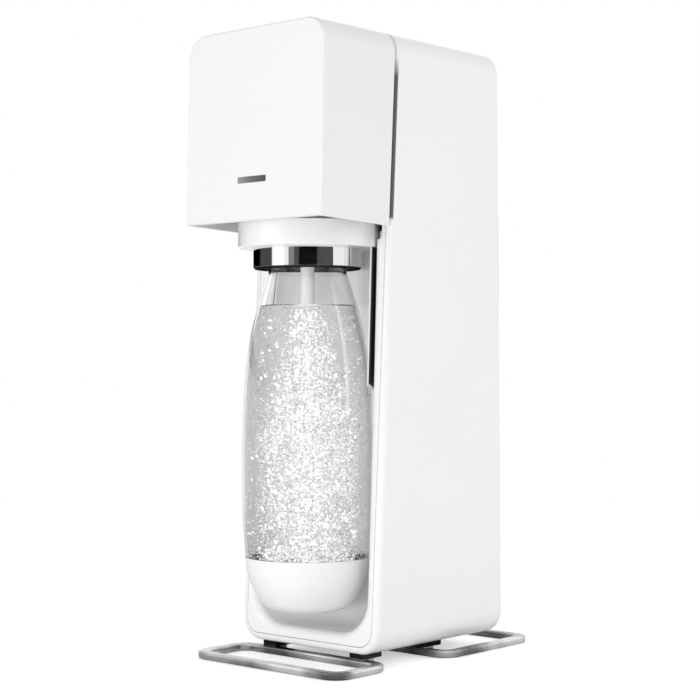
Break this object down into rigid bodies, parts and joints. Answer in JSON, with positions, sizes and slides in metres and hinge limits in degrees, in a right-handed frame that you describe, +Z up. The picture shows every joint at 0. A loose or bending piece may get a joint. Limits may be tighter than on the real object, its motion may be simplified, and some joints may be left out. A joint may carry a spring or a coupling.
{
  "type": "soda carbonator",
  "caption": "Upright press-down soda carbonator: white tower on steel loop feet, sliding head, tilting holder with a clear bottle and a gas cylinder behind a rear cover.",
  "frame": {"origin": "on the floor, at the middle of the object's outline seen from above", "axes": "+Z up; -Y towards the user, who faces the press head and the bottle; +X to the user's right"},
  "size_m": [0.14, 0.219, 0.4228],
  "materials": {
    "white_gloss_plastic": "gloss white moulded plastic",
    "white_satin_plastic": "satin white moulded plastic",
    "clear_plastic": "clear blown plastic",
    "foot_steel": "polished steel bar",
    "chrome": "bright chrome plate",
    "plain_steel": "zinc-plated steel",
    "frame_plastic": "glass-filled grey plastic",
    "brass": "turned brass",
    "cylinder_paint": "painted aluminium",
    "rubber": "soft black rubber",
    "seal_rubber": "soft grey silicone",
    "button_plastic": "satin grey plastic",
    "lens_plastic": "smoked lens",
    "circuit_board": "green lacquered board"
  },
  "bodies": {
    "base": {"tower_shell": "white_gloss_plastic", "tower_base": "white_gloss_plastic", "deck_ledges": "white_satin_plastic", "front_panel": "white_gloss_plastic", "front_foot": "foot_steel", "rear_foot": "foot_steel", "foot_screws": "plain_steel", "chassis": "frame_plastic", "chassis_screws": "plain_steel", "guide_rods": "plain_steel", "rod_bridge": "frame_plastic", "bridge_screws": "plain_steel", "press_springs": "plain_steel", "valve_block": "brass", "valve_block_screws": "plain_steel", "cylinder_seal": "rubber", "relief_valve": "brass", "valve_spring": "plain_steel", "lever_pin": "plain_steel", "gas_hose": "rubber", "hose_elbow": "white_satin_plastic", "cradle_pivot_pin": "plain_steel"},
    "press": {"press_shell": "white_gloss_plastic", "press_carriage": "white_satin_plastic", "carriage_screws": "plain_steel", "indicator_lens": "lens_plastic", "indicator_board": "circuit_board", "coin_cell": "plain_steel"},
    "lever": {"actuator_lever": "frame_plastic"},
    "pin": {"valve_pin": "plain_steel"},
    "cradle": {"cradle_collar": "white_gloss_plastic", "cradle_saddle": "white_gloss_plastic", "chrome_ring": "chrome", "mouth_seal": "seal_rubber", "nozzle_manifold": "white_satin_plastic", "nozzle_tube": "white_satin_plastic"},
    "bottle": {"bottle": "clear_plastic", "base_cup": "white_gloss_plastic"},
    "rear_cover": {"rear_cover": "white_gloss_plastic", "button_spring": "plain_steel"},
    "cover_button": {"cover_button": "button_plastic"},
    "cylinder": {"gas_cylinder": "cylinder_paint", "cylinder_valve": "brass"}
  },
  "joints": [
    {"name": "press_slide", "type": "slide", "parent": "base", "child": "press", "axis": [0, 0, -1], "range_m": [0, 0.008], "stiffness_N_per_m": 1500, "springref_m": -0.006, "deforming": ["press_springs"]},
    {"name": "lever_turn", "type": "hinge", "parent": "base", "child": "lever", "pos_m": [0, 0.058, 0.3923], "axis": [1, 0, 0], "range_deg": [0, 6.4]},
    {"name": "pin_push", "type": "slide", "parent": "base", "child": "pin", "axis": [0, 0, -1], "range_m": [0, 0.0028], "deforming": ["valve_spring"]},
    {"name": "cradle_tilt", "type": "hinge", "parent": "base", "child": "cradle", "pos_m": [0, -0.049, 0.3], "axis": [-1, 0, 0], "range_deg": [0, 15]},
    {"name": "bottle_drop", "type": "slide", "parent": "cradle", "child": "bottle", "axis": [0, 0, -1], "range_m": [0, 0.012]},
    {"name": "cover_tilt", "type": "hinge", "parent": "base", "child": "rear_cover", "pos_m": [0, 0.08257, 0.0299], "axis": [-1, 0, 0], "range_deg": [0, 35]},
    {"name": "button_slide", "type": "slide", "parent": "rear_cover", "child": "cover_button", "axis": [0, 0, -1], "range_m": [0, 0.003], "stiffness_N_per_m": 300, "springref_m": -0.002, "deforming": ["button_spring"]},
    {"name": "cylinder_drop", "type": "slide", "parent": "base", "child": "cylinder", "axis": [0, 0, -1], "range_m": [0, 0.016]}
  ],
  "couplings": [
    {"joint": "lever_turn", "follows": "press_slide", "rad_per_m": 13.889},
    {"joint": "pin_push", "follows": "press_slide", "ratio": 0.34}
  ]
}
